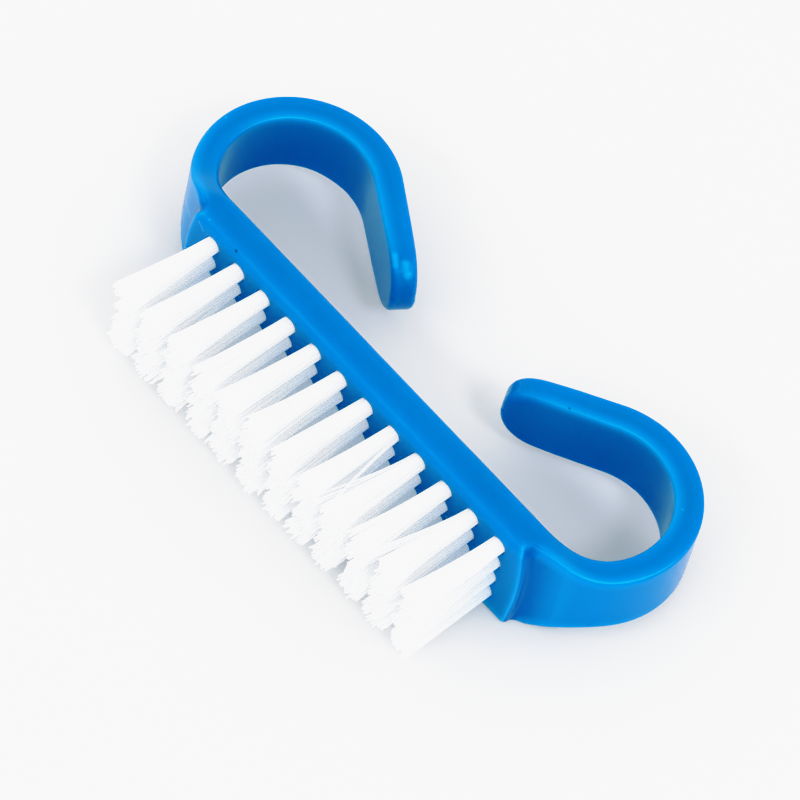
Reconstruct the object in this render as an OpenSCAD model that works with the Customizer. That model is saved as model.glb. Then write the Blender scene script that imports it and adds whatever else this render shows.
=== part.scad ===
// Nail brush with two finger hooks.
// The brush lies on its side: X runs along the head, -Y is the way the bristles
// point, +Y is the side of the finger hooks, and Z is the width of the brush.
// Origin: mid-length and mid-thickness of the head, on the side face it rests on.

/* [Head] */
// Length of the bristle block, measured along its middle
head_len = 49.8; // [49:0.1:51.5]
// Width of the head, across the four rows
head_w = 12.64; // [12:0.1:14]
// Thickness of the head, from the bristle face to the finger side
head_t = 3.84; // [3.6:0.02:4.4]
// Height of the bristle block above the outside of the hooks' bands
block_h = 1.24; // [1:0.02:1.4]
// Radius of the gently bowed ends of the bristle block
end_bow_r = 26.8; // [20:0.2:60]
// Corner radius of the bristle block
block_corner_r = 0.9; // [0.4:0.1:1.5]

/* [Finger hooks] */
// Distance from mid-length to the centre of a hook's curl
hook_x = 22.15; // [21.9:0.05:22.6]
// Height of that centre above the head's middle plane
hook_y = 9.88; // [9.7:0.01:10]
// Outer radius of a hook
hook_r = 10.62; // [10.5:0.01:10.7]
// Radius of the open space inside a hook
finger_r = 7.88; // [7.6:0.01:7.98]
// Width of a hook's band
band_w = 7.9; // [6.5:0.1:9.5]
// Direction of the straight finger rest, in degrees from the head's length
rest_slope = 32.4; // [28:0.2:36]
// Taper of the finger rest towards its tip, in degrees
rest_taper = 1.4; // [0:0.1:2]
// Length of the finger rest at +X, from the end of the curl to its rounded tip
rest_len = 11.2; // [8:0.1:12]
// How much longer the finger rest at -X is
rest_extra = 0.9; // [0:0.1:1]
// Radius of the waist where the wide head narrows to the band
waist_r = 10.3; // [9:0.1:12]

/* [Bristles] */
// Distance between neighbouring tufts along the head
col_pitch = 3.86; // [3.7:0.01:3.9]
// Distance between neighbouring rows
row_pitch = 2.57; // [2.5:0.01:2.7]
// Diameter of the hole each tuft is set in
bore_d = 1.9; // [1.8:0.02:2]
// Depth of that hole
bore_depth = 2.8; // [2.6:0.05:3]
// Diameter of a tuft at its root
tuft_d = 1.84; // [1.6:0.02:1.84]
// Diameter of a tuft at its cut end, where the filaments spread
tuft_tip_d = 2.4; // [1.9:0.05:2.45]
// Length of a tuft outside the head
tuft_len = 11; // [8:0.5:14]

/* [Anchors] */
// Width of the metal anchor that pins a tuft, wider than its hole
anchor_w = 2.25; // [2.1:0.05:2.4]
// Height of an anchor, along the hole
anchor_h = 1.5; // [1.2:0.1:1.6]
// Thickness of an anchor
anchor_t = 0.3; // [0.25:0.01:0.35]
// Thickness of the filaments folded under an anchor
fold_t = 0.45; // [0.35:0.05:0.6]

/* [Hidden] */
rows = 4;
cols = 12;
gap = 0.02;         // clearance round an anchor and behind a tuft's root
overlap = 0.01;     // overlap of joined cutter outlines
margin = 1;         // how far helper shapes pass a face or the mid-length
long_margin = 4;    // the same, at the finger rests
end_margin = 5;     // the same, beyond the ends of the bristle block

// Angles are measured from +X towards +Y, for the hook at +X
function dir(angle) = [cos(angle), sin(angle)];

// Head
half_w = head_w / 2;
half_band = band_w / 2;
end_x = head_len / 2;
bristle_y = -head_t / 2;
finger_y = head_t / 2;
ledge_y = bristle_y + block_h;

// Bristle block: bow centre, corner centre, and where bow and corner meet
bow_x = end_x - end_bow_r;
corner_z = half_w - block_corner_r;
bow_to_corner = end_bow_r - block_corner_r;
corner_x = bow_x + sqrt(pow(bow_to_corner, 2) - pow(corner_z, 2));
bow_z = corner_z * end_bow_r / bow_to_corner;

// Curl: the open space inside it is tangent to the head's finger side
hook_centre = [hook_x, hook_y];
finger_centre = [hook_x, finger_y + finger_r];
// Straight underside, from the block's ledge to where it is tangent to the curl
ledge = [end_x, ledge_y];
ledge_offset = ledge - hook_centre;
touch_a = atan2(ledge_offset[1], ledge_offset[0]) + acos(hook_r / norm(ledge_offset));
// Inner corner of the outline joining the underside to the head
root_x = 15;
root_y = 5;
// Corner of the open space nearest mid-length
opening_x = 5;
opening_y = 8;

// Finger rest: angles where its outer and inner faces meet the curl
rest_a = 90 + rest_slope;
rest_inner_a = rest_a - rest_taper;
rest_start = hook_centre + hook_r * dir(rest_a);
// Length and outer tip corner of a rest: side 0 is at +X, side 1 at -X
function side_rest_len(side) = rest_len + side * rest_extra;
function rest_end(side) = rest_start + side_rest_len(side) * dir(rest_a + 90);

// Waist: direction of the band where it leaves the head, distance from the
// origin that way at which the waist becomes the band, and length of the waist
waist_a = 55;
waist_end = 21.97;
waist_len = sqrt(pow(waist_r, 2) - pow(waist_r - (half_w - half_band), 2));
band_only_y = 8;    // above this height everything has the band's width

// Sizes of the cutters, large enough to pass through the handle
waist_cut_depth = 80;
waist_cut_len = 30;
side_cut_h = 20;
side_cut_size = [50, 30, side_cut_h];
tip_cut_depth = 16;

// Bristle holes
bore_end_y = bristle_y + bore_depth;
anchor_y = bore_end_y - fold_t - anchor_h;
function hole_place(row, col) = [
    (col - (cols + 1) / 2) * col_pitch,
    0,
    half_w + ((rows + 1) / 2 - row) * row_pitch
];

function two_digits(n) = n < 10 ? str("0", n) : str(n);

// Everything inside the outer outline of one hook
module hook_outer(side) {
    tip = rest_end(side);
    translate(hook_centre) circle(r = hook_r, $fn = 96);
    polygon([hook_centre, rest_start, tip, tip - long_margin * dir(rest_a)]);
    polygon([[root_x, ledge_y], ledge, hook_centre + hook_r * dir(touch_a),
             hook_centre, [root_x, root_y]]);
}

// The open space inside the hook, where a finger goes
module hook_inner(side) {
    inner_start = finger_centre + finger_r * dir(rest_inner_a);
    inner_len = side_rest_len(side) + long_margin;
    translate(finger_centre) circle(r = finger_r, $fn = 96);
    polygon([[opening_x, finger_y], [hook_x, finger_y], finger_centre, inner_start,
             inner_start + inner_len * dir(rest_inner_a + 90),
             [opening_x, opening_y]]);
}

// Side outline of the whole handle: the head with a hook at each end
module handle_outline() {
    difference() {
        union() {
            translate([-end_x, bristle_y]) square([head_len, head_t]);
            hook_outer(0);
            mirror([1, 0]) hook_outer(1);
        }
        hook_inner(0);
        mirror([1, 0]) hook_inner(1);
    }
}

// Material taken off the +Z side at +X so that the wide head narrows to the band
module waist_cutter() {
    translate([0, 0, half_w]) rotate([0, 0, waist_a]) rotate([90, 0, 0])
        translate([0, 0, -waist_cut_depth / 2]) linear_extrude(height = waist_cut_depth) {
            translate([waist_end, half_band]) square([waist_cut_len, side_cut_h]);
            intersection() {
                translate([waist_end, half_band + waist_r]) circle(r = waist_r, $fn = 96);
                translate([waist_end - waist_len, half_band - margin])
                    square([waist_len + overlap, side_cut_h]);
            }
        }
    translate([-margin, band_only_y, half_w + half_band]) cube(side_cut_size);
}

// Material taken off to round the end of the finger rest across its width
module tip_cutter(side) {
    tip = rest_end(side);
    translate([tip[0], tip[1], half_w]) rotate([0, 0, rest_a + 90]) rotate([90, 0, 0])
        translate([0, 0, -tip_cut_depth / 2]) linear_extrude(height = tip_cut_depth)
            difference() {
                translate([-half_band, -half_band - margin])
                    square([half_band + long_margin, band_w + 2 * margin]);
                translate([-half_band, 0]) circle(r = half_band, $fn = 96);
            }
}

// Outline of the bristle block seen from the bristles: bowed ends, rounded corners
module block_outline() {
    for (side = [0, 1]) mirror([side, 0]) {
        intersection() {
            translate([bow_x, 0]) circle(r = end_bow_r, $fn = 180);
            translate([0, -bow_z]) square([end_x + margin, 2 * bow_z]);
        }
        translate([-margin, -half_w]) square([corner_x + margin, head_w]);
        for (n = [-1, 1])
            translate([corner_x, n * corner_z]) circle(r = block_corner_r, $fn = 48);
    }
}

// Material taken off round the ends of the bristle block, as deep as its ledges
module block_cutter() {
    translate([0, ledge_y, half_w]) rotate([90, 0, 0])
        linear_extrude(height = block_h + margin) difference() {
            translate([-end_x - end_margin, -half_w - margin])
                square([head_len + 2 * end_margin, head_w + 2 * margin]);
            block_outline();
        }
}

// Block the size of an anchor, grown all round by a clearance
module anchor_block(clearance) {
    translate([-anchor_w / 2 - clearance, anchor_y - clearance, -anchor_t / 2 - clearance])
        cube([anchor_w + 2 * clearance, anchor_h + 2 * clearance, anchor_t + 2 * clearance]);
}

// Moulded handle: head, two finger hooks, blind holes and anchor seats
module handle_body() {
    color([0.02, 0.53, 0.87]) difference() {
        linear_extrude(height = head_w) handle_outline();
        block_cutter();
        for (side = [0, 1]) mirror([side, 0, 0]) {
            waist_cutter();
            translate([0, 0, head_w]) mirror([0, 0, 1]) waist_cutter();
            tip_cutter(side);
        }
        for (row = [1:rows]) for (col = [1:cols]) translate(hole_place(row, col)) {
            translate([0, bore_end_y, 0]) rotate([90, 0, 0])
                cylinder(h = bore_depth + margin, d = bore_d, $fn = 48);
            anchor_block(gap);
        }
    }
}

// One tuft: a bundle of filaments folded round its anchor, spreading to the cut end
module tuft(row, col) {
    color([0.96, 0.96, 0.97]) translate(hole_place(row, col)) difference() {
        union() {
            translate([0, bore_end_y - gap, 0]) rotate([90, 0, 0])
                cylinder(h = bore_depth - gap, d = tuft_d, $fn = 48);
            translate([0, bristle_y, 0]) rotate([90, 0, 0])
                cylinder(h = tuft_len, d1 = tuft_d, d2 = tuft_tip_d, $fn = 48);
        }
        anchor_block(gap);
    }
}

// The metal anchors, one in every hole
module tuft_anchors() {
    color([0.78, 0.76, 0.7])
    for (row = [1:rows]) for (col = [1:cols])
        translate(hole_place(row, col)) anchor_block(0);
}

handle_body();
tuft(1, 1);  // tuft_r1_c01
tuft(1, 2);  // tuft_r1_c02
tuft(1, 3);  // tuft_r1_c03
tuft(1, 4);  // tuft_r1_c04
tuft(1, 5);  // tuft_r1_c05
tuft(1, 6);  // tuft_r1_c06
tuft(1, 7);  // tuft_r1_c07
tuft(1, 8);  // tuft_r1_c08
tuft(1, 9);  // tuft_r1_c09
tuft(1, 10);  // tuft_r1_c10
tuft(1, 11);  // tuft_r1_c11
tuft(1, 12);  // tuft_r1_c12
tuft(2, 1);  // tuft_r2_c01
tuft(2, 2);  // tuft_r2_c02
tuft(2, 3);  // tuft_r2_c03
tuft(2, 4);  // tuft_r2_c04
tuft(2, 5);  // tuft_r2_c05
tuft(2, 6);  // tuft_r2_c06
tuft(2, 7);  // tuft_r2_c07
tuft(2, 8);  // tuft_r2_c08
tuft(2, 9);  // tuft_r2_c09
tuft(2, 10);  // tuft_r2_c10
tuft(2, 11);  // tuft_r2_c11
tuft(2, 12);  // tuft_r2_c12
tuft(3, 1);  // tuft_r3_c01
tuft(3, 2);  // tuft_r3_c02
tuft(3, 3);  // tuft_r3_c03
tuft(3, 4);  // tuft_r3_c04
tuft(3, 5);  // tuft_r3_c05
tuft(3, 6);  // tuft_r3_c06
tuft(3, 7);  // tuft_r3_c07
tuft(3, 8);  // tuft_r3_c08
tuft(3, 9);  // tuft_r3_c09
tuft(3, 10);  // tuft_r3_c10
tuft(3, 11);  // tuft_r3_c11
tuft(3, 12);  // tuft_r3_c12
tuft(4, 1);  // tuft_r4_c01
tuft(4, 2);  // tuft_r4_c02
tuft(4, 3);  // tuft_r4_c03
tuft(4, 4);  // tuft_r4_c04
tuft(4, 5);  // tuft_r4_c05
tuft(4, 6);  // tuft_r4_c06
tuft(4, 7);  // tuft_r4_c07
tuft(4, 8);  // tuft_r4_c08
tuft(4, 9);  // tuft_r4_c09
tuft(4, 10);  // tuft_r4_c10
tuft(4, 11);  // tuft_r4_c11
tuft(4, 12);  // tuft_r4_c12
tuft_anchors();
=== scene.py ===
"""A blue moulded brush with a hooked finger rest at each end and 4 rows of 12 white nylon tufts.

It lies on its side on a pale table: X runs along the head, the tufts point to -Y (the front), and
Z runs up across the rows, with the table at Z = 0. Shapes are worked out in millimetres.
"""
import math
import bpy
import numpy as np
from mathutils import Matrix, Vector


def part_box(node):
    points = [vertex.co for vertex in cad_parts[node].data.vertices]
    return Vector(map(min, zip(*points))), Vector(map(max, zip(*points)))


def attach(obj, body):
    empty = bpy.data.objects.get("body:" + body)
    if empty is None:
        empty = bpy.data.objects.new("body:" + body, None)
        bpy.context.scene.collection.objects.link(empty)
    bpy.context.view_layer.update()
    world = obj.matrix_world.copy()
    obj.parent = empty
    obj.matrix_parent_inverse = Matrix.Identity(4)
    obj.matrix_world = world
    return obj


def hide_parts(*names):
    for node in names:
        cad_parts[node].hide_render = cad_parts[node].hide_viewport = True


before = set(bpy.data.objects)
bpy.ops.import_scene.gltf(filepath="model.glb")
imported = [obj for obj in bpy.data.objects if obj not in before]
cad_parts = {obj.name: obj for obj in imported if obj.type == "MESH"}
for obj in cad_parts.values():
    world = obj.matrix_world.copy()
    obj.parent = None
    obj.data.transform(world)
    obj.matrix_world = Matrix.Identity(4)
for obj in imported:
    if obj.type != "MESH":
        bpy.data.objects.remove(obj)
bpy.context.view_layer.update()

MM = 0.001


# ---------------------------------------------------------------- dimensions, in millimetres
def box_mm(piece):
    return [np.array(corner) * 1000.0 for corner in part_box(piece)]


handle_low, handle_high = box_mm("handle_body")
first_low, first_high = box_mm("tuft_r1_c01")
column_low, column_high = box_mm("tuft_r1_c02")
row_low, row_high = box_mm("tuft_r2_c01")

HEAD_WIDTH = handle_high[2] - handle_low[2]     # across the rows
MID_Z = HEAD_WIDTH / 2
FACE_Y = handle_low[1]                  # bristle face
BACK_Y = -2 * FACE_Y / 2                # back of the head
X_MAX = handle_high[0]                  # outermost point of a hook
Y_MAX = handle_high[1]                  # crown of a hook

ROWS, COLUMNS = 4, 12
COLUMN_PITCH = (column_low[0] + column_high[0] - first_low[0] - first_high[0]) / 2
ROW_PITCH = (first_low[2] + first_high[2] - row_low[2] - row_high[2]) / 2
FIRST_X = (first_low[0] + first_high[0]) / 2
FIRST_Z = (first_low[2] + first_high[2]) / 2
BORE_RADIUS = 0.95                      # tuft holes
BORE_END_Y = FACE_Y + 2.8

OUTER_RADIUS = 10.62                    # hook, outside and inside
INNER_RADIUS = 7.88
HOOK_X = X_MAX - OUTER_RADIUS
HOOK_Y = Y_MAX - OUTER_RADIUS
INNER_Y = BACK_Y + INNER_RADIUS
BAND_HALF = 3.95                        # half the width of the hook's band
END_X = 24.9                            # end of the block that holds the tufts
LEDGE_Y = FACE_Y + 1.24                 # where the band leaves the block's end
BOW_RADIUS = 26.8                       # the block's end, bowed across its width
LOWER_BOW_EXTRA = 14.0                  # the lower half is flatter
REST_SLOPE = math.radians(32.4)         # finger rest
REST_TAPER = math.radians(1.4)
REST_LENGTH = 11.2                      # at +X
REST_EXTRA = 0.9                        # the rest at -X is longer
REST_Y = 7.6                            # above this, only the hooks and rests are left
WAIST_RADIUS = 10.3
WAIST_END = 21.97                       # where the waist reaches full width, along WAIST_DIR
WAIST_DIR = (0.5736, 0.8192)
WAIST_BLEND = 1.1
SWELL = 0.06                            # makes up for what edge rounding draws in

# Shallow sink marks: centre, radius, depth
SINKS = [((-9.35, 11.75, 10.25), 0.85, 0.11), ((-8.35, 12.55, 9.35), 0.80, 0.12),
         ((9.6, 13.1, 9.9), 0.8, 0.03), ((-24.0, 18.6, 10.3), 1.4, 0.03),
         ((29.5, 13.0, 10.3), 1.6, 0.03)]


# ---------------------------------------------------------------- side outline of the handle
def direction(angle):
    return np.array([math.cos(angle), math.sin(angle)])


def arc(centre, radius, start, end, count):
    angle = np.linspace(start, end, count)
    return np.c_[centre[0] + radius * np.cos(angle), centre[1] + radius * np.sin(angle)]


def outline():
    """Side outline of the +X half, anticlockwise from the bristle face, with the line of the
    band's underside, the end of the finger rest and the direction in which the rest runs."""
    outer = np.array([HOOK_X, HOOK_Y])
    inner = np.array([HOOK_X, INNER_Y])
    ledge = np.array([END_X, LEDGE_Y])
    offset = ledge - outer
    touch_angle = math.atan2(offset[1], offset[0]) + math.acos(OUTER_RADIUS / np.hypot(*offset))
    rest_angle = math.pi / 2 + REST_SLOPE
    inner_angle = rest_angle - REST_TAPER
    touch = outer + OUTER_RADIUS * direction(touch_angle)
    tangent = (touch - ledge) / np.hypot(*(touch - ledge))
    rest_dir = direction(rest_angle + math.pi / 2)
    rest_end = outer + OUTER_RADIUS * direction(rest_angle) + REST_LENGTH * rest_dir
    # the outline runs on past the longer rest; the rounded tip is cut later
    far_outer = rest_end + (REST_EXTRA + 2.0) * rest_dir
    inner_start = inner + INNER_RADIUS * direction(inner_angle)
    inner_dir = direction(inner_angle + math.pi / 2)
    reach = np.dot(far_outer - inner_start, rest_dir) / np.dot(inner_dir, rest_dir)
    points = [np.array([[-60.0, FACE_Y], [27.6, FACE_Y]]),
              arc(outer, OUTER_RADIUS, touch_angle + 0.02, rest_angle, 170),
              np.array([far_outer, inner_start + reach * inner_dir]),
              arc(inner, INNER_RADIUS, inner_angle, -math.pi / 2, 150),
              np.array([[-60.0, BACK_Y]])]
    return np.concatenate(points), ledge, tangent, rest_end, rest_dir


OUTLINE, LEDGE, TANGENT, REST_END, REST_DIR = outline()


def polygon_distance(x, y, polygon):
    """Signed distance from points to a closed polygon: negative inside."""
    nearest = np.full(x.shape, 1e9)
    inside = np.zeros(x.shape, bool)
    for (ax, ay), (bx, by) in zip(polygon, np.roll(polygon, -1, axis=0)):
        edge_x, edge_y = bx - ax, by - ay
        from_x, from_y = x - ax, y - ay
        length2 = edge_x * edge_x + edge_y * edge_y + 1e-18
        t = np.clip((from_x * edge_x + from_y * edge_y) / length2, 0, 1)
        dx, dy = from_x - t * edge_x, from_y - t * edge_y
        nearest = np.minimum(nearest, dx * dx + dy * dy)
        crosses = (ay <= y) != (by <= y)
        cross_x = ax + (y - ay) / (by - ay + (by == ay)) * edge_x
        inside ^= crosses & (x < cross_x)
    return np.sqrt(nearest) * np.where(inside, -1, 1)


# The outline's distance is tabulated once on a grid and interpolated from there
GRID_X, GRID_Y, GRID_STEP = -0.6, FACE_Y - 1.4, 0.07
PROFILE = polygon_distance(*np.meshgrid(np.arange(GRID_X, X_MAX + 1.2, GRID_STEP),
                                        np.arange(GRID_Y, Y_MAX + 1.2, GRID_STEP),
                                        indexing="ij"), OUTLINE)


def profile_distance(x, y):
    fx = np.clip((x - GRID_X) / GRID_STEP, 0, PROFILE.shape[0] - 1.001)
    fy = np.clip((y - GRID_Y) / GRID_STEP, 0, PROFILE.shape[1] - 1.001)
    i, j = fx.astype(int), fy.astype(int)
    u, v = fx - i, fy - j
    return (PROFILE[i, j] * (1 - u) * (1 - v) + PROFILE[i + 1, j] * u * (1 - v)
            + PROFILE[i, j + 1] * (1 - u) * v + PROFILE[i + 1, j + 1] * u * v)


# ---------------------------------------------------------------- handle: signed distance field
def round_max(a, b, radius):
    """Max of two distances, with a fillet of the given radius along the edge."""
    outside = np.hypot(np.maximum(a + radius, 0), np.maximum(b + radius, 0))
    return np.minimum(np.maximum(a, b) + radius, 0) + outside - radius


def soft_min(a, b, width):
    return np.minimum(a, b) - np.maximum(width - np.abs(a - b), 0) ** 2 / (4 * width)


def ease(start, end, x):
    """0 at start, 1 at end, smooth between; start may be the larger."""
    t = np.clip((x - start) / (end - start), 0, 1)
    return t * t * (3 - 2 * t)


def from_tip(x, y):
    """Distance back along the finger rest from its tip."""
    return ((REST_END[0] - np.abs(x)) * REST_DIR[0] + (REST_END[1] - y) * REST_DIR[1]
            + REST_EXTRA * (x < 0))


def beyond_bow(x, z, radius):
    """Distance beyond the bowed end of the block; z is from the middle."""
    return np.hypot(np.abs(x) - (END_X - radius), z) - radius


def flank_distance(x, y, z):
    """Sides of the head: full width, then a concave waist that eases into the band."""
    along = WAIST_DIR[0] * x + WAIST_DIR[1] * y
    inset = np.clip(WAIST_END + 0.7 - along, 0, 9.0)
    inset = inset * inset / (inset + 0.9)
    root = np.sqrt(WAIST_RADIUS ** 2 - inset ** 2)
    rise = WAIST_RADIUS - root
    full = MID_Z - BAND_HALF
    lift = soft_min(rise, full, WAIST_BLEND)
    slope = (np.where(rise < full + WAIST_BLEND, inset / root, 0.0)
             * np.clip((full + WAIST_BLEND - rise) / (2 * WAIST_BLEND), 0, 1))
    return (np.abs(z) - BAND_HALF - lift) / np.sqrt(1 + slope ** 2)


def rest_distance(back, z, plain):
    """Sides of the finger rest, which ends in half a circle, or in a fuller curve if not plain."""
    power = np.where(plain, 2.0, 2.6)
    along, across = np.maximum(BAND_HALF - back, 0) / BAND_HALF, np.abs(z) / BAND_HALF
    curve = (along ** power + across ** power + 1e-12) ** (1 / power)
    return np.where(back > BAND_HALF, np.abs(z) - BAND_HALF, (curve - 1) * BAND_HALF)


def edge_radius(x, y, z, back, raised):
    """Broad along the upper edge of the bristle face, soft at the tips, crisp on the table."""
    near_tip = ease(7.0, 1.5, back) * raised
    block = ease(27.0, 24.0, x)
    broad = (0.14 * ease(3.5, 1.9, y) + 0.62 * ease(0.2, -1.1, y)) * block
    return (0.40 + 0.12 * ease(12.0, 4.0, y) + 0.30 * near_tip
            + np.where(z > 0, broad, -0.22 * block))


def handle_distance(points, holes=True):
    """Signed distance to the moulded handle."""
    x, y, z = np.abs(points[:, 0]), points[:, 1], points[:, 2] - MID_Z
    back = from_tip(points[:, 0], y)
    raised = y > REST_Y
    width = np.where(raised, rest_distance(back, z, (points[:, 0] < 0) | (z < 0)),
                     flank_distance(x, y, z))
    # the ledge is cut below the band's underside and beyond the bowed end of the block
    below = (x - LEDGE[0]) * TANGENT[1] + (y - LEDGE[1]) * -TANGENT[0]
    beyond = beyond_bow(x, z, np.where(z > 0, BOW_RADIUS, BOW_RADIUS + LOWER_BOW_EXTRA))
    cut = round_max(-beyond, -below, 0.50)
    side = round_max(profile_distance(x, y), -cut, 0.42 * (1 - ease(26.0, 27.0, x)))
    distance = round_max(side - SWELL, width - SWELL * ease(1.5, 7.0, y),
                         edge_radius(x, y, z, back, raised))
    for centre, radius, depth in SINKS:
        spread = ((points - np.array(centre)) ** 2).sum(1) / (radius * radius)
        distance = distance + depth * np.exp(-2.2 * spread)
    if not holes:
        return distance
    # tuft holes with a slightly rounded mouth
    column = np.clip(np.round((points[:, 0] - FIRST_X) / COLUMN_PITCH), 0, COLUMNS - 1)
    row = np.clip(np.round((FIRST_Z - points[:, 2]) / ROW_PITCH), 0, ROWS - 1)
    bore = np.hypot(points[:, 0] - (FIRST_X + COLUMN_PITCH * column),
                    points[:, 2] - (FIRST_Z - ROW_PITCH * row)) - BORE_RADIUS
    return round_max(distance, -np.maximum(bore, y - BORE_END_Y), 0.08)


def gradient(points, step=0.02, holes=True):
    slope = np.empty_like(points)
    for i, shift in enumerate(step * np.eye(3)):
        slope[:, i] = (handle_distance(points + shift, holes)
                       - handle_distance(points - shift, holes)) / (2 * step)
    return slope


def unit(vectors):
    return vectors / np.linalg.norm(vectors, axis=1, keepdims=True).clip(1e-6)


def surface_nets(step, low, high):
    """Quad mesh of the handle's zero surface, one vertex per grid cell that it crosses."""
    size = np.ceil((high - low) / step).astype(int) + 1
    axes = [low[i] + step * np.arange(size[i]) for i in range(3)]
    field = np.empty(size, np.float32)
    slab = 24                           # layers worked out at a time, to save memory
    for i in range(0, size[0], slab):
        x, y, z = np.meshgrid(axes[0][i:i + slab], axes[1], axes[2], indexing="ij")
        distance = handle_distance(np.c_[x.ravel(), y.ravel(), z.ravel()])
        field[i:i + slab] = distance.reshape(x.shape)
    solid = field < 0

    corners = np.array([(i, j, k) for i in (0, 1) for j in (0, 1) for k in (0, 1)])
    count = np.zeros(tuple(size - 1), np.uint8)
    for i, j, k in corners:
        count += solid[i:size[0] - 1 + i, j:size[1] - 1 + j, k:size[2] - 1 + k]
    active = (count > 0) & (count < 8)
    cells = np.argwhere(active)
    index = np.full(active.shape, -1, np.int64)
    index[active] = np.arange(len(cells))

    # each vertex is the mean of the crossings on its cell's edges
    value = np.stack([field[cells[:, 0] + i, cells[:, 1] + j, cells[:, 2] + k]
                      for i, j, k in corners], 1).astype(float)
    total = np.zeros((len(cells), 3))
    crossings = np.zeros(len(cells))
    for p in range(8):
        for q in range(p + 1, 8):
            if np.abs(corners[p] - corners[q]).sum() != 1:
                continue
            hit = (value[:, p] < 0) != (value[:, q] < 0)
            t = value[hit, p] / (value[hit, p] - value[hit, q])
            total[hit] += corners[p] + t[:, None] * (corners[q] - corners[p])
            crossings[hit] += 1
    verts = low + step * (cells + total / crossings[:, None])

    # each crossed grid edge gives a quad that joins the four cells around it
    quads = []
    for axis, others in enumerate([(1, 2), (2, 0), (0, 1)]):
        near_end = [slice(1, size[i] - 1) for i in range(3)]
        far_end = list(near_end)
        near_end[axis] = slice(0, size[axis] - 1)
        far_end[axis] = slice(1, size[axis])
        near_solid = solid[tuple(near_end)]
        edges = np.argwhere(near_solid != solid[tuple(far_end)])
        keep_order = near_solid[tuple(edges.T)]
        edges[:, others] += 1
        quad = []
        for first, second in ((1, 1), (0, 1), (0, 0), (1, 0)):
            cell = edges.copy()
            cell[:, others[0]] -= first
            cell[:, others[1]] -= second
            quad.append(index[tuple(cell.T)])
        quad = np.stack(quad, 1)
        quad[~keep_order] = quad[~keep_order][:, ::-1]
        quads.append(quad)
    return verts, np.concatenate(quads)


def painted_light_masks(points):
    """Four values for each point, masks for painted light and shade: how close an edge is, how
    convex the surface is around it, whether that edge looks to the front, and how concave the
    surface is. They put painted edge light where light would gather in the edges of a translucent
    moulding, and painted shade in its corners."""
    x, y, z = points.T
    normal = unit(gradient(points, holes=False))
    reach = 1.5
    wide = np.clip(1 + handle_distance(points - reach * normal, False) / reach, 0, 1)
    bend = np.zeros(len(points))
    for shift in 0.5 * np.eye(3):
        bend += handle_distance(points + shift, False) + handle_distance(points - shift, False)
    near = np.clip(1.15 * bend - 0.12, 0, 1)
    # painted shade mask: concave places near the bristle face
    hollow_shade = np.clip(-1.8 * bend - 0.05, 0, 1) * ease(1.6, 0.6, y)
    wide = np.maximum(wide, 0.7 * near)
    facing = unit(gradient(points - 0.9 * normal, 0.05, False)) + 0.6 * normal
    front = ease(0.5, -0.6, facing[:, 1])
    # painted edge light is taken off the lower edges inside the hooks and the step at the block's
    # end
    to_x = np.where(x < 0, -HOOK_X, HOOK_X) - x
    to_y = INNER_Y - y
    inward = (normal[:, 0] * to_x + normal[:, 1] * to_y) / np.hypot(to_x, to_y).clip(0.1)
    lost = 0.9 * ease(MID_Z + 1.5, MID_Z - 1.5, z) * ease(-0.1, 0.3, inward)
    end = ease(0.35, 0.8, np.abs(normal[:, 0])) * ease(0.2, -0.6, y)
    lost = np.maximum(lost, 0.9 * end)
    # painted shade on the band's underside, next to the block's end
    beyond = beyond_bow(x, z - MID_Z, BOW_RADIUS)
    under = (ease(3.2, 0.3, beyond) * ease(-0.3, 0.1, beyond) * ease(2.4, 0.6, y)
             * ease(0.1, -0.4, normal[:, 1]))
    # painted shade also on the block's end face
    hollow_shade = np.maximum(np.maximum(hollow_shade, 0.62 * under), 0.6 * end)
    # less painted edge light near the tips of the finger rests
    lost = np.maximum(lost, 0.65 * ease(5.0, 1.5, from_tip(x, y)) * (y > REST_Y))
    return {"wide": wide * (1 - lost), "near": near * (1 - lost), "front": front,
            "hollow_shade": hollow_shade}


# ---------------------------------------------------------------- meshes
def make_mesh(name, verts, quads, tris=np.empty((0, 3), int)):
    """Object from vertices in metres; quads are shaded smooth and triangles flat."""
    mesh = bpy.data.meshes.new(name)
    verts = np.ascontiguousarray(verts, np.float32)
    mesh.vertices.add(len(verts))
    mesh.vertices.foreach_set("co", verts.ravel())
    loops = np.concatenate([quads.ravel(), tris.ravel()]).astype(np.int32)
    mesh.loops.add(len(loops))
    mesh.loops.foreach_set("vertex_index", loops)
    sides = np.repeat([4, 3], [len(quads), len(tris)]).astype(np.int32)
    starts = np.concatenate([[0], np.cumsum(sides)[:-1]]).astype(np.int32)
    mesh.polygons.add(len(sides))
    mesh.polygons.foreach_set("loop_start", starts)
    mesh.polygons.foreach_set("loop_total", sides)
    mesh.update(calc_edges=True)
    mesh.validate()
    mesh.polygons.foreach_set("use_smooth", np.arange(len(mesh.polygons)) < len(quads))
    ob = bpy.data.objects.new(name, mesh)
    bpy.context.scene.collection.objects.link(ob)
    return ob


def add_attribute(ob, name, values):
    attribute = ob.data.attributes.new(name, "FLOAT", "POINT")
    attribute.data.foreach_set("value", values.astype(np.float32))


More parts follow.
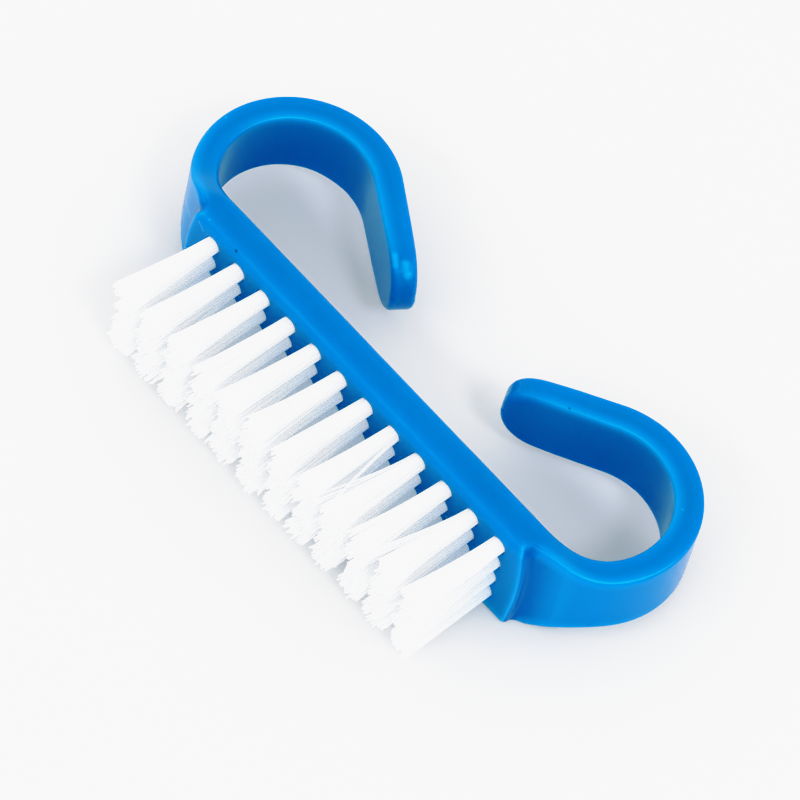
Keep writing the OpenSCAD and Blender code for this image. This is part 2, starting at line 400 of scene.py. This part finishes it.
def build_handle():
    step = 0.16
    low = np.array([-X_MAX - 3 * step, FACE_Y - 3 * step, -3 * step])
    high = np.array([X_MAX + 3 * step, Y_MAX + 3 * step, HEAD_WIDTH + 3 * step])
    verts, quads = surface_nets(step, low, high)
    # relax along the surface, then put every vertex back on it
    start, end = np.concatenate([quads[:, [i, (i + 1) % 4]] for i in range(4)]).T
    count = np.bincount(start, minlength=len(verts)) + np.bincount(end, minlength=len(verts))
    for _ in range(3):
        total = np.zeros_like(verts)
        for i in range(3):
            total[:, i] = (np.bincount(start, verts[end, i], len(verts))
                           + np.bincount(end, verts[start, i], len(verts)))
        verts = verts + 0.5 * (total / count[:, None] - verts)
        for _ in range(2):
            slope = gradient(verts)
            steepness = (slope ** 2).sum(1).clip(0.25)
            verts = verts - (handle_distance(verts) / steepness)[:, None] * slope
    ob = make_mesh("handle_moulding", verts * MM, quads)
    for name, values in painted_light_masks(verts).items():
        add_attribute(ob, name, values)
    return ob


# ---------------------------------------------------------------- tufts
FILAMENT_RADIUS = 0.092
FILAMENTS = 84
RINGS = 10              # along the free length of a filament
ROOT_RADIUS = BORE_RADIUS - FILAMENT_RADIUS - 0.015
ANCHOR_GAP = 0.27                       # keeps filaments clear of the flat anchor
STUB_Y = (0.78, FACE_Y + 0.75)          # filament stations inside the hole
GOLDEN_ANGLE = 2.399963
# Tufts whose filaments have parted: (row, column) -> side in X, how many, lean in degrees
PARTED = {(1, 8): (1, 6, 8.5), (1, 9): (-1, 4, -5.0), (1, 11): (-1, 9, -6.0), (2, 2): (1, 6, 6.0)}


def tubes(paths, radius, sides=6):
    """One closed tube along each centre line in paths (count, rings, 3), its far end domed.
    Returns vertices, quads, triangles and the number of vertices in a tube."""
    count, rings, _ = paths.shape
    along = np.gradient(paths, axis=1)
    along /= np.linalg.norm(along, axis=2, keepdims=True)
    across = np.cross(along, np.array([0.3, 0.1, 1.0]))
    across /= np.linalg.norm(across, axis=2, keepdims=True)
    other = np.cross(along, across)
    angle = (np.arange(sides) * 2 * np.pi / sides)[None, None, :, None]
    circle = np.cos(angle) * across[:, :, None, :] + np.sin(angle) * other[:, :, None, :]
    verts = paths[:, :, None, :] + radius[:, None, None, None] * circle
    ends = np.stack([paths[:, 0], paths[:, -1] + along[:, -1] * radius[:, None] * 0.12], 1)
    verts = np.concatenate([verts.reshape(count, rings * sides, 3), ends], 1)
    size = rings * sides + 2
    last = (rings - 1) * sides
    pairs = [(k, (k + 1) % sides) for k in range(sides)]
    quads = np.array([(j + k, j + k2, j + sides + k2, j + sides + k)
                      for j in range(0, last, sides) for k, k2 in pairs])
    tris = np.array([tri for k, k2 in pairs
                     for tri in ((size - 2, k2, k), (size - 1, last + k, last + k2))])
    offset = (np.arange(count) * size)[:, None, None]
    return (verts.reshape(-1, 3), (quads[None] + offset).reshape(-1, 4),
            (tris[None] + offset).reshape(-1, 3), size)


def build_tuft(row, column):
    rng = np.random.default_rng(1000 * row + column)
    # places in the bundle, in a sunflower pattern of radius 1
    order = np.arange(FILAMENTS) + 0.5
    radial = np.sqrt(order / FILAMENTS)
    angle = order * GOLDEN_ANGLE + rng.uniform(0, 6.28)
    in_x = radial * np.cos(angle) + rng.normal(0, 0.02, FILAMENTS)
    in_z = radial * np.sin(angle) + rng.normal(0, 0.02, FILAMENTS)
    outside = np.hypot(in_x, in_z).clip(1)
    in_x, in_z = in_x / outside, in_z / outside
    tuft_x = FIRST_X + (column - 1) * COLUMN_PITCH
    tuft_z = FIRST_Z - (row - 1) * ROW_PITCH
    # each tuft spreads and leans a little differently
    spread_x = 0.66 + rng.uniform(-0.14, 0.22)
    spread_z = 0.46 + rng.uniform(-0.10, 0.14)
    lean_x = rng.normal(0.0, 0.18)
    lean_z = rng.normal(-0.03, 0.10)
    length = 10.95 + rng.normal(0, 0.13, FILAMENTS) - 0.8 * rng.random(FILAMENTS) ** 5
    # the cut is not quite square: every tuft's end is tilted a touch
    length = np.minimum(length + rng.normal(0, 0.10) * in_x + rng.normal(0, 0.10) * in_z, 11.3)
    tip_x = lean_x + spread_x * in_x + rng.normal(0, 0.07, FILAMENTS)
    tip_z = lean_z + spread_z * in_z + rng.normal(0, 0.07, FILAMENTS)
    loose = rng.random(FILAMENTS) < 0.10
    tip_x = tip_x + np.where(loose, rng.normal(0, 0.38, FILAMENTS), 0)
    tip_z = tip_z + np.where(loose, rng.normal(0, 0.25, FILAMENTS), 0)
    if (row, column) in PARTED:
        side, number, lean = PARTED[(row, column)]
        outermost = np.argsort(-side * in_x)[:number]
        tip_x[outermost] += math.tan(math.radians(lean)) * 11.0 * rng.uniform(0.75, 1.05, number)
    t = np.linspace(0, 1, RINGS)
    bend = 1.25 + 0.25 * rng.random(FILAMENTS)
    curve = t[None, :] ** bend[:, None]
    wave_x = rng.normal(0, 0.025, FILAMENTS)[:, None] * np.sin(np.pi * t)[None]
    wave_z = rng.normal(0, 0.025, FILAMENTS)[:, None] * np.sin(np.pi * t)[None]
    x = tuft_x + ROOT_RADIUS * in_x[:, None] + tip_x[:, None] * curve + wave_x
    z = tuft_z + ROOT_RADIUS * in_z[:, None] + tip_z[:, None] * curve + wave_z
    y = FACE_Y - length[:, None] * t[None]
    z = np.clip(z, FILAMENT_RADIUS + 0.02, HEAD_WIDTH + 0.45)
    # inside the hole the filaments pass on both sides of the flat anchor
    stub_z = np.where(in_z >= 0, 1, -1) * (ANCHOR_GAP
                                           + np.abs(in_z) * (ROOT_RADIUS - ANCHOR_GAP))
    half = np.sqrt(np.maximum(ROOT_RADIUS ** 2 - stub_z ** 2, 0.0))
    stub_x = np.clip(ROOT_RADIUS * in_x, -half, half)
    stub = np.stack([np.stack([tuft_x + stub_x, np.full(FILAMENTS, level), tuft_z + stub_z], 1)
                     for level in STUB_Y], 1)
    paths = np.concatenate([stub, np.stack([x, y, z], 2)], 1)
    radius = FILAMENT_RADIUS * rng.uniform(0.93, 1.05, FILAMENTS)
    verts, quads, tris, size = tubes(paths, radius)
    ob = make_mesh("bristles_r%d_c%02d" % (row, column), verts * MM, quads, tris)
    add_attribute(ob, "filament", np.repeat(rng.random(FILAMENTS), size))
    return ob


# ---------------------------------------------------------------- shader helpers
class Graph:
    """A node tree. Any input may be given a value or another node's output."""

    def __init__(self, owner):
        owner.use_nodes = True
        self.owner = owner
        self.tree = owner.node_tree
        self.tree.nodes.clear()

    def fill(self, node, inputs):
        for key, value in inputs.items():
            if isinstance(value, bpy.types.NodeSocket):
                self.tree.links.new(value, node.inputs[key])
            else:
                node.inputs[key].default_value = value

    def node(self, kind, inputs={}, **settings):
        node = self.tree.nodes.new("ShaderNode" + kind)
        for key, value in settings.items():
            setattr(node, key, value)
        self.fill(node, inputs)
        return node

    def split(self, vector):
        return self.node("SeparateXYZ", {0: vector}).outputs

    def ramp(self, source, stops):
        node = self.node("ValToRGB", {0: source})
        elements = node.color_ramp.elements
        while len(elements) > 1:
            elements.remove(elements[-1])
        elements[0].position, elements[0].color = stops[0]
        for position, color in stops[1:]:
            elements.new(position).color = color
        return node.outputs[0]


class Material(Graph):
    def __init__(self, name):
        super().__init__(bpy.data.materials.new(name))
        self.output = self.node("OutputMaterial")
        self.bsdf = self.node("BsdfPrincipled")
        self.fill(self.output, {0: self.bsdf.outputs[0]})
        self.place = self.node("TexCoord").outputs["Object"]

    def surface(self, inputs):
        self.fill(self.bsdf, inputs)

    def calc(self, operation, *values):
        return self.node("Math", dict(enumerate(values)), operation=operation).outputs[0]

    def times(self, a, b):
        return self.calc("MULTIPLY", a, b)

    def vector(self, operation, a, b, out="Vector"):
        return self.node("VectorMath", {0: a, 1: b}, operation=operation).outputs[out]

    def attribute(self, name):
        return self.node("Attribute", attribute_name=name).outputs["Fac"]

    def noise(self, scale, detail=2.0, at=None):
        at = self.place if at is None else at
        return self.node("TexNoise", {"Scale": scale, "Detail": detail,
                                      "Vector": at}).outputs["Fac"]

    def stretch(self, scale, rotation=(0, 0, 0)):
        return self.node("Mapping", {"Scale": scale, "Rotation": rotation,
                                     "Vector": self.place}).outputs[0]

    def remap(self, source, span, to):
        return self.node("MapRange", {"From Min": span[0], "From Max": span[1], "To Min": to[0],
                                      "To Max": to[1], "Value": source}).outputs["Result"]

    def blend(self, factor, a, b):
        return self.node("Mix", {"Factor": factor, "A": a, "B": b},
                         data_type="RGBA").outputs["Result"]

    def bump(self, height, strength, distance, **normal):
        return self.node("Bump", {"Strength": strength, "Distance": distance, "Height": height,
                                  **normal}).outputs[0]

    def bell(self, source, middle, width):
        offset = self.calc("DIVIDE", self.calc("SUBTRACT", source, middle), width)
        return self.calc("EXPONENT", self.times(self.times(offset, offset), -1.0))

    def segment_distance(self, start, end):
        """Distance to the segment between two points: millimetres in, metres out."""
        segment = (Vector(end) - Vector(start)) * MM
        offset = self.vector("SUBTRACT", self.place, Vector(start) * MM)
        t = self.remap(self.vector("DOT_PRODUCT", offset, segment, "Value"),
                       span=(0.0, segment.length_squared), to=(0, 1))
        foot = self.node("VectorMath", {0: segment, "Scale": t}, operation="SCALE")
        return self.vector("DISTANCE", offset, foot.outputs["Vector"], "Value")


# ---------------------------------------------------------------- blue plastic
# Painted glints (highlights) on the finger tip at -X, and two pale streaks on the outside of that
# hook:
# two ends (mm), radius (mm), strength, colour
PAINTED_GLINT_BLUE, PALE_STREAK_BLUE = (0.030, 0.42, 0.80, 1), (0.16, 0.52, 0.80, 1)
STREAKS = [((-9.92, 12.10, 10.14), (-9.13, 11.62, 9.74), 0.42, 0.80, PAINTED_GLINT_BLUE),
           ((-8.65, 12.44, 9.81), (-7.78, 12.13, 9.19), 0.62, 0.75, PAINTED_GLINT_BLUE),
           ((-28.9, 1.6, 6.6), (-26.6, 0.1, 7.2), 0.16, 0.55, PALE_STREAK_BLUE),
           ((-23.5, -1.96, 11.6), (-22.7, -1.98, 10.9), 0.13, 0.40, PALE_STREAK_BLUE)]
# Flecks caught in the moulding: position (mm), radius (mm), colour
PALE, DARK = (0.05, 0.42, 0.75, 1), (0.0, 0.04, 0.15, 1)
FLECKS = [((-32.3, 9.1, 10.33), 0.22, PALE), ((-22.68, -1.43, 12.41), 0.22, PALE),
          ((28.77, 15.29, 10.33), 0.20, PALE), ((21.82, 1.89, 12.31), 0.24, PALE),
          ((14.65, -1.98, 6.66), 0.26, PALE), ((-18.36, -1.61, 12.26), 0.28, DARK),
          ((13.69, 14.12, 10.29), 0.20, DARK), ((31.6, 4.0, 8.2), 0.16, PALE),
          ((3.1, 1.9, 8.9), 0.2, DARK)]


def painted_highlight_line(mat, near, position):
    """A painted highlight: a thin line along the upper edges that face the front right, and down
    the ridge at +X.
    """
    normal = mat.split(mat.node("NewGeometry").outputs["Normal"])
    upper = mat.bell(normal["Z"], middle=0.81, width=0.10)
    side = mat.remap(mat.calc("SUBTRACT", normal["X"], normal["Y"]), span=(0.25, 0.70), to=(0, 1))
    ridge = mat.times(mat.bell(normal["X"], middle=0.50, width=0.22),
                      mat.remap(position["Y"], span=(-0.0004, -0.0010), to=(0, 1)))
    line = mat.calc("MAXIMUM", mat.times(upper, side), ridge)
    broken = mat.remap(mat.noise(scale=110, detail=1), span=(0.38, 0.60), to=(0.28, 0.68))
    return mat.times(line, mat.times(mat.remap(near, span=(0.05, 0.45), to=(0, 1)), broken))


def paint_edge_light_and_shade(mat, color, position):
    """Paints shade into the corners and concave places, and paints light and highlights along the
    edges.
    """
    wide, near, front, hollow_shade = map(mat.attribute, ("wide", "near", "front", "hollow_shade"))
    # painted shade: dark blue in concave places, under the band and on the block's end
    color = mat.blend(mat.times(hollow_shade, 0.85), color, (0.0004, 0.080, 0.36, 1))
    # painted edge light: a lighter blue near edges, more where they face the front
    facing = mat.calc("MULTIPLY_ADD", front, 0.60, 0.40)
    glow = mat.times(mat.times(mat.calc("POWER", wide, 1.3), facing), 0.85)
    color = mat.blend(glow, color, (0.0025, 0.310, 0.700, 1))
    # painted highlight: a pale rim along edges that face the front
    rim = mat.times(near, mat.times(mat.times(front, front), 0.34))
    color = mat.blend(rim, color, (0.040, 0.54, 0.86, 1))
    # painted highlight: a thin bright line
    return mat.blend(painted_highlight_line(mat, near, position), color, (0.060, 0.52, 0.84, 1))


def glints_and_blemishes(mat, color):
    """Painted glints on the finger tip at -X, pale streaks, fine specks and larger flecks."""
    for start, end, radius, strength, mark_color in STREAKS:
        ragged = mat.calc("MULTIPLY_ADD", mat.noise(scale=1500), 0.5 * radius * MM,
                          mat.segment_distance(start, end))
        mark = mat.remap(ragged, span=(radius * 0.45 * MM, radius * 1.25 * MM), to=(strength, 0))
        color = mat.blend(mark, color, mark_color)
    cells = mat.node("TexVoronoi", {"Scale": 420, "Vector": mat.place})
    specks = mat.remap(cells.outputs["Distance"], span=(0.03, 0.10), to=(1, 0))
    patches = mat.remap(mat.noise(scale=240, detail=0), span=(0.64, 0.68), to=(0, 1))
    color = mat.blend(mat.times(mat.times(specks, patches), 0.16), color, (0.03, 0.36, 0.75, 1))
    for centre, radius, fleck_color in FLECKS:
        distance = mat.vector("DISTANCE", mat.place, [c * MM for c in centre], "Value")
        ragged = mat.calc("MULTIPLY_ADD", mat.noise(scale=3000, detail=1), 0.00012, distance)
        fleck = mat.remap(ragged, span=((radius * 0.35 + 0.06) * MM, (radius * 0.85 + 0.06) * MM),
                          to=(0.65, 0))
        color = mat.blend(fleck, color, fleck_color)
    return color


def plastic():
    mat = Material("moulded_blue_plastic")
    position = mat.split(mat.place)
    # uneven pigment
    color = mat.ramp(mat.noise(scale=85, detail=4), [(0.30, (0.0012, 0.177, 0.504, 1)),
                                                     (0.70, (0.0018, 0.195, 0.544, 1))])
    color = glints_and_blemishes(mat, paint_edge_light_and_shade(mat, color, position))
    # bounced light sees a greyer colour, so that the table stays neutral
    bounced = mat.node("LightPath").outputs["Is Diffuse Ray"]
    color = mat.blend(mat.times(bounced, 0.72), color, (0.14, 0.19, 0.31, 1))
    # moulding sheen with haze from handling and a few long fine scratches
    haze = mat.remap(mat.noise(scale=130, detail=5), span=(0.3, 0.7), to=(0.11, 0.18))
    streaked = mat.stretch(scale=(60, 2200, 900), rotation=(0.25, 0.15, 0.6))
    scratches = mat.remap(mat.noise(scale=1.0, detail=1, at=streaked),
                          span=(0.70, 0.78), to=(0, 1))
    # slow waviness of the moulding, satin grain, the scratches
    waves = mat.bump(mat.noise(scale=120, detail=0), strength=0.25, distance=0.00020)
    grain = mat.bump(mat.noise(scale=3200), strength=0.15, distance=0.000008, Normal=waves)
    mat.surface({
        "Base Color": color,
        "Roughness": mat.calc("MULTIPLY_ADD", scratches, 0.03, haze),
        "Normal": mat.bump(scratches, strength=0.03, distance=0.000003, Normal=grain),
        "IOR": 1.49,
        "Specular IOR Level": mat.remap(position["Z"], span=(0.0010, 0.0065), to=(0.12, 0.24)),
        "Specular Tint": (0.02, 0.60, 1.0, 1),
        "Subsurface Weight": 0.75,
        "Subsurface Radius": (0.10, 0.9, 1.3),
        "Subsurface Scale": 0.0010})
    return mat.owner


# ---------------------------------------------------------------- other materials
def nylon():
    mat = Material("white_nylon_filament")
    base = mat.ramp(mat.attribute("filament"), [(0.0, (0.965, 0.97, 0.98, 1)),
                                                (0.6, (0.98, 0.983, 0.99, 1)),
                                                (1.0, (0.995, 0.995, 0.995, 1))])
    # painted blue bounce light and shade: low down and near the roots the filaments are tinted
    # towards the blue of the head
    position = mat.split(mat.place)
    tint = mat.times(mat.remap(position["Y"], span=(-0.0085, -0.0025), to=(0, 1)),
                     mat.remap(position["Z"], span=(0.0098, 0.0075), to=(0, 1)))
    fibres = mat.noise(scale=1.0, at=mat.stretch(scale=(3000, 150, 3000)))
    mat.surface({
        "Base Color": mat.blend(tint, base, (0.84, 0.90, 0.99, 1)),
        "Roughness": mat.remap(mat.noise(scale=900), span=(0.3, 0.7), to=(0.30, 0.50)),
        "Normal": mat.bump(fibres, strength=0.08, distance=0.000004),
        "IOR": 1.53})

    def mix(factor, first, second):
        return mat.node("MixShader", {0: factor, 1: first.outputs[0], 2: second.outputs[0]})

    # the filaments are clear enough to pass light to one another and to the table
    through = mat.node("BsdfTranslucent", {"Color": (0.97, 0.98, 0.99, 1)})
    body = mix(0.45, mat.bsdf, through)
    # painted glow: a faint emission stands in for light scattered many times inside the bundle
    glow = mat.blend(tint, (0.96, 0.975, 1.0, 1), (0.74, 0.86, 1.0, 1))
    emission = mat.node("Emission", {"Color": glow, "Strength": 0.175})
    lit = mat.node("AddShader", {0: body.outputs[0], 1: emission.outputs[0]})
    ray = mat.node("LightPath").outputs
    clear = mat.node("BsdfTransparent", {"Color": (0.985, 0.99, 1.0, 1)})
    clearness = mat.calc("MAXIMUM", mat.times(ray["Is Shadow Ray"], 0.96),
                         mat.times(ray["Is Diffuse Ray"], 0.86))
    mat.fill(mat.output, {0: mix(clearness, lit, clear).outputs[0]})
    return mat.owner


def steel():
    mat = Material("anchor_flat_wire")
    drawn = mat.noise(scale=1.0, at=mat.stretch(scale=(300, 6000, 6000)))
    mat.surface({
        "Base Color": mat.ramp(drawn, [(0.3, (0.55, 0.53, 0.48, 1)),
                                       (0.7, (0.74, 0.72, 0.67, 1))]),
        "Roughness": mat.remap(drawn, span=(0.3, 0.7), to=(0.25, 0.45)),
        "Normal": mat.bump(drawn, strength=0.3, distance=0.00001),
        "Metallic": 1.0})
    return mat.owner


def paper():
    mat = Material("pale_table")
    mat.surface({
        "Base Color": mat.ramp(mat.noise(scale=60, detail=5), [(0.3, (0.885, 0.885, 0.885, 1)),
                                                               (0.7, (0.905, 0.905, 0.905, 1))]),
        "Roughness": mat.remap(mat.noise(scale=300), span=(0.3, 0.7), to=(0.6, 0.75)),
        "Specular IOR Level": 0.15})
    return mat.owner


# ---------------------------------------------------------------- pieces
def install(ob, material, piece):
    ob.data.materials.append(material)
    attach(ob, "root")
    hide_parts(piece)


PLASTIC, NYLON, STEEL, PAPER = plastic(), nylon(), steel(), paper()

install(build_handle(), PLASTIC, "handle_body")
for row in range(1, ROWS + 1):
    for column in range(1, COLUMNS + 1):
        install(build_tuft(row, column), NYLON, "tuft_r%d_c%02d" % (row, column))

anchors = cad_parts["tuft_anchors"]
anchors.data.materials.clear()
anchors.data.materials.append(STEEL)

table_corners = np.array([(-2, -2, 0), (2, -2, 0), (2, 2, 0), (-2, 2, 0)], float)
table = make_mesh("table_top", table_corners, np.array([[0, 1, 2, 3]]))
table.data.materials.append(PAPER)


# ---------------------------------------------------------------- light
def light_tent():
    """Bright walls all round and a darker roof."""
    world = bpy.data.worlds.new("studio")
    bpy.context.scene.world = world
    graph = Graph(world)
    height = graph.split(graph.node("TexCoord").outputs["Generated"])["Z"]
    tent = graph.ramp(height, [(0.0, (1.0, 1.0, 1.0, 1)), (0.35, (0.92, 0.92, 0.92, 1)),
                               (0.95, (0.56, 0.56, 0.56, 1))])
    background = graph.node("Background", {"Color": tent, "Strength": 1.20})
    graph.node("OutputWorld", {0: background.outputs[0]})


def softbox(name, toward, distance, size, power):
    """A rectangular light in the given direction from the brush, facing it (m, W)."""
    toward = Vector(toward).normalized()
    light = bpy.data.lights.new(name, "AREA")
    light.shape = "RECTANGLE"
    light.size, light.size_y = size
    light.energy = power
    ob = bpy.data.objects.new(name, light)
    bpy.context.scene.collection.objects.link(ob)
    ob.location = toward * distance
    ob.rotation_euler = (-toward).to_track_quat("-Z", "Y").to_euler()


light_tent()
softbox("softbox_front", toward=(-0.06, -0.70, 0.66), distance=0.9, size=(0.70, 0.10), power=1.2)
softbox("softbox_front_right", toward=(0.58, -0.14, 0.80), distance=0.8, size=(0.14, 0.16),
        power=0.8)

# ---------------------------------------------------------------- camera
CAMERA_PLACE = (0.1758618, -0.2313144, 0.4251693)
CAMERA_RIGHT = (0.6495126, 0.7458138, 0.1479702)
CAMERA_DOWN = (0.6796321, -0.4822015, -0.5527947)
CAMERA_FORWARD = (-0.3409304, 0.4596124, -0.8200749)

lens = bpy.data.cameras.new("camera")
lens.sensor_width = 36.0
lens.lens = 236.7358
lens.shift_x = -0.000625
lens.shift_y = 0.000625
lens.clip_start = 0.01
camera = bpy.data.objects.new("camera", lens)
bpy.context.scene.collection.objects.link(camera)
camera.matrix_world = Matrix([
    (right, -down, -forward, place) for right, down, forward, place
    in zip(CAMERA_RIGHT, CAMERA_DOWN, CAMERA_FORWARD, CAMERA_PLACE)] + [(0, 0, 0, 1)])
bpy.context.scene.camera = camera

# ---------------------------------------------------------------- tone
# Curve points (in, out). The combined curve keeps whites near the top and shadows deep; red
# and green are lowered in the darks, since blues this strong hold next to no red.
BLACK, WHITE = (0.0, 0.0), (1.0, 0.943)
RED, GREEN, COMBINED = 0, 1, 3
TONE = {COMBINED: [(0.02, 0.007), (0.10, 0.078), (0.20, 0.205), (0.45, 0.52), (0.64, 0.80),
                   (0.80, 0.912)],
        RED: [(0.02, 0.007), (0.06, 0.032), (0.15, 0.105), (0.35, 0.335), (0.6, 0.6)],
        GREEN: [(0.04, 0.030), (0.09, 0.079), (0.19, 0.206), (0.35, 0.362), (0.6, 0.603)]}

view = bpy.context.scene.view_settings
view.view_transform = "Standard"
view.look = "None"
view.exposure = 0.0
view.use_curve_mapping = True
mapping = view.curve_mapping
mapping.curves[COMBINED].points[0].location = BLACK
mapping.curves[COMBINED].points[-1].location = WHITE
for channel, points in TONE.items():
    for point in points:
        mapping.curves[channel].points.new(*point)
mapping.extend = "HORIZONTAL"
mapping.update()

bpy.context.view_layer.update()
